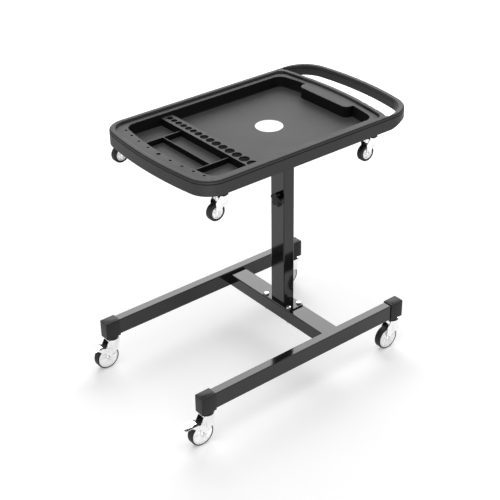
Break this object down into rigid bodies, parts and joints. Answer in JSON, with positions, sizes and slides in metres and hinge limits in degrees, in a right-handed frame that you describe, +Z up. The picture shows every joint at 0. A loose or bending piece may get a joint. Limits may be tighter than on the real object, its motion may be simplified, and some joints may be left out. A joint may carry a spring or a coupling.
{
  "type": "lifting work table",
  "caption": "Rolling work table with a moulded tool tray that slides up and down on a clamped post, over two legs on swivel casters.",
  "frame": {"origin": "on the floor, under the middle of the whole table's outline", "axes": "+X along the legs towards the grab bar, +Y to the rear, +Z up"},
  "size_m": [0.8744, 0.513, 0.789],
  "materials": {
    "black_painted_steel": "semi-gloss powder coat",
    "tray_plastic": "fine moulded texture",
    "cap_plastic": "satin moulded",
    "slide_plastic": "smooth nylon",
    "knob_plastic": "gloss moulded",
    "zinc_steel": "bright zinc plate",
    "chrome": "bright chrome plate",
    "tyre_rubber": "smooth rubber",
    "wheel_white": "gloss moulded"
  },
  "bodies": {
    "base": {"leg_front": "black_painted_steel", "leg_rear": "black_painted_steel", "cross_bar": "black_painted_steel", "post": "black_painted_steel", "end_cap_front_left": "cap_plastic", "end_cap_rear_left": "cap_plastic", "end_cap_front_right": "cap_plastic", "end_cap_rear_right": "cap_plastic", "foot_plate": "black_painted_steel", "foot_bolts": "zinc_steel", "foot_nuts": "zinc_steel", "mast_guide_sleeve": "slide_plastic", "lock_boss": "black_painted_steel", "stem_weld_nuts": "zinc_steel", "base_caster_stems": "zinc_steel", "base_swivel_races": "zinc_steel"},
    "mast": {"mast": "black_painted_steel", "mast_foot_plug": "slide_plastic"},
    "tray": {"tray": "tray_plastic", "tray_socket": "black_painted_steel", "socket_screws": "zinc_steel", "tray_caster_stems": "zinc_steel", "tray_swivel_races": "zinc_steel"},
    "lock_screw": {"lock_screw": "zinc_steel"},
    "lock_knob": {"lock_knob": "knob_plastic"},
    "base_swivel_front_left": {"base_fork_front_left": "chrome", "base_axle_front_left": "chrome"},
    "base_wheel_front_left": {"base_tyre_front_left": "tyre_rubber", "base_wheel_front_left": "wheel_white"},
    "pedal_front_left": {"brake_pedal_front_left": "chrome"},
    "base_swivel_rear_left": {"base_fork_rear_left": "chrome", "base_axle_rear_left": "chrome"},
    "base_wheel_rear_left": {"base_tyre_rear_left": "tyre_rubber", "base_wheel_rear_left": "wheel_white"},
    "pedal_rear_left": {"brake_pedal_rear_left": "chrome"},
    "base_swivel_front_right": {"base_fork_front_right": "chrome", "base_axle_front_right": "chrome"},
    "base_wheel_front_right": {"base_tyre_front_right": "tyre_rubber", "base_wheel_front_right": "wheel_white"},
    "base_swivel_rear_right": {"base_fork_rear_right": "chrome", "base_axle_rear_right": "chrome"},
    "base_wheel_rear_right": {"base_tyre_rear_right": "tyre_rubber", "base_wheel_rear_right": "wheel_white"},
    "tray_swivel_front_left": {"tray_fork_front_left": "chrome", "tray_axle_front_left": "chrome"},
    "tray_wheel_front_left": {"tray_tyre_front_left": "tyre_rubber", "tray_wheel_front_left": "wheel_white"},
    "tray_swivel_rear_left": {"tray_fork_rear_left": "chrome", "tray_axle_rear_left": "chrome"},
    "tray_wheel_rear_left": {"tray_tyre_rear_left": "tyre_rubber", "tray_wheel_rear_left": "wheel_white"},
    "tray_swivel_front_right": {"tray_fork_front_right": "chrome", "tray_axle_front_right": "chrome"},
    "tray_wheel_front_right": {"tray_tyre_front_right": "tyre_rubber", "tray_wheel_front_right": "wheel_white"},
    "tray_swivel_rear_right": {"tray_fork_rear_right": "chrome", "tray_axle_rear_right": "chrome"},
    "tray_wheel_rear_right": {"tray_tyre_rear_right": "tyre_rubber", "tray_wheel_rear_right": "wheel_white"}
  },
  "joints": [
    {"name": "mast_lift", "type": "slide", "parent": "base", "child": "mast", "axis": [0, 0, 1], "range_m": [0, 0.33]},
    {"name": "tray_lift_off", "type": "slide", "parent": "mast", "child": "tray", "axis": [0, 0, 1], "range_m": [0, 0.06]},
    {"name": "lock_screw_feed", "type": "slide", "parent": "base", "child": "lock_screw", "axis": [-1, 0, 0], "range_m": [0, 0.0015]},
    {"name": "lock_knob_turn", "type": "hinge", "parent": "lock_screw", "child": "lock_knob", "pos_m": [0.0955, -0.015, 0.517], "axis": [-1, 0, 0], "range_deg": [0, 360]},
    {"name": "base_swivel_turn_front_left", "type": "hinge", "parent": "base", "child": "base_swivel_front_left", "pos_m": [-0.35275, -0.2365, 0.1025], "axis": [0, 0, 1], "continuous": true},
    {"name": "base_wheel_roll_front_left", "type": "hinge", "parent": "base_swivel_front_left", "child": "base_wheel_front_left", "pos_m": [-0.37675, -0.2365, 0.0375], "axis": [0, 1, 0], "continuous": true},
    {"name": "brake_pedal_press_front_left", "type": "hinge", "parent": "base_swivel_front_left", "child": "pedal_front_left", "pos_m": [-0.37675, -0.2365, 0.0645], "axis": [0, -1, 0], "range_deg": [0, 15]},
    {"name": "base_swivel_turn_rear_left", "type": "hinge", "parent": "base", "child": "base_swivel_rear_left", "pos_m": [-0.35275, 0.2365, 0.1025], "axis": [0, 0, 1], "continuous": true},
    {"name": "base_wheel_roll_rear_left", "type": "hinge", "parent": "base_swivel_rear_left", "child": "base_wheel_rear_left", "pos_m": [-0.37675, 0.2365, 0.0375], "axis": [0, 1, 0], "continuous": true},
    {"name": "brake_pedal_press_rear_left", "type": "hinge", "parent": "base_swivel_rear_left", "child": "pedal_rear_left", "pos_m": [-0.37675, 0.2365, 0.0645], "axis": [0, -1, 0], "range_deg": [0, 15]},
    {"name": "base_swivel_turn_front_right", "type": "hinge", "parent": "base", "child": "base_swivel_front_right", "pos_m": [0.36525, -0.2365, 0.1025], "axis": [0, 0, 1], "continuous": true},
    {"name": "base_wheel_roll_front_right", "type": "hinge", "parent": "base_swivel_front_right", "child": "base_wheel_front_right", "pos_m": [0.34125, -0.2365, 0.0375], "axis": [0, 1, 0], "continuous": true},
    {"name": "base_swivel_turn_rear_right", "type": "hinge", "parent": "base", "child": "base_swivel_rear_right", "pos_m": [0.36525, 0.2365, 0.1025], "axis": [0, 0, 1], "continuous": true},
    {"name": "base_wheel_roll_rear_right", "type": "hinge", "parent": "base_swivel_rear_right", "child": "base_wheel_rear_right", "pos_m": [0.34125, 0.2365, 0.0375], "axis": [0, 1, 0], "continuous": true},
    {"name": "tray_swivel_turn_front_left", "type": "hinge", "parent": "tray", "child": "tray_swivel_front_left", "pos_m": [-0.26575, -0.217, 0.747], "axis": [0, 0, 1], "continuous": true},
    {"name": "tray_wheel_roll_front_left", "type": "hinge", "parent": "tray_swivel_front_left", "child": "tray_wheel_front_left", "pos_m": [-0.28575, -0.217, 0.697], "axis": [0, 1, 0], "continuous": true},
    {"name": "tray_swivel_turn_rear_left", "type": "hinge", "parent": "tray", "child": "tray_swivel_rear_left", "pos_m": [-0.26575, 0.217, 0.747], "axis": [0, 0, 1], "continuous": true},
    {"name": "tray_wheel_roll_rear_left", "type": "hinge", "parent": "tray_swivel_rear_left", "child": "tray_wheel_rear_left", "pos_m": [-0.28575, 0.217, 0.697], "axis": [0, 1, 0], "continuous": true},
    {"name": "tray_swivel_turn_front_right", "type": "hinge", "parent": "tray", "child": "tray_swivel_front_right", "pos_m": [0.26025, -0.217, 0.747], "axis": [0, 0, 1], "continuous": true},
    {"name": "tray_wheel_roll_front_right", "type": "hinge", "parent": "tray_swivel_front_right", "child": "tray_wheel_front_right", "pos_m": [0.24025, -0.217, 0.697], "axis": [0, 1, 0], "continuous": true},
    {"name": "tray_swivel_turn_rear_right", "type": "hinge", "parent": "tray", "child": "tray_swivel_rear_right", "pos_m": [0.26025, 0.217, 0.747], "axis": [0, 0, 1], "continuous": true},
    {"name": "tray_wheel_roll_rear_right", "type": "hinge", "parent": "tray_swivel_rear_right", "child": "tray_wheel_rear_right", "pos_m": [0.24025, 0.217, 0.697], "axis": [0, 1, 0], "continuous": true}
  ],
  "couplings": [
    {"joint": "lock_screw_feed", "follows": "lock_knob_turn", "m_per_rad": 0.00023873}
  ]
}
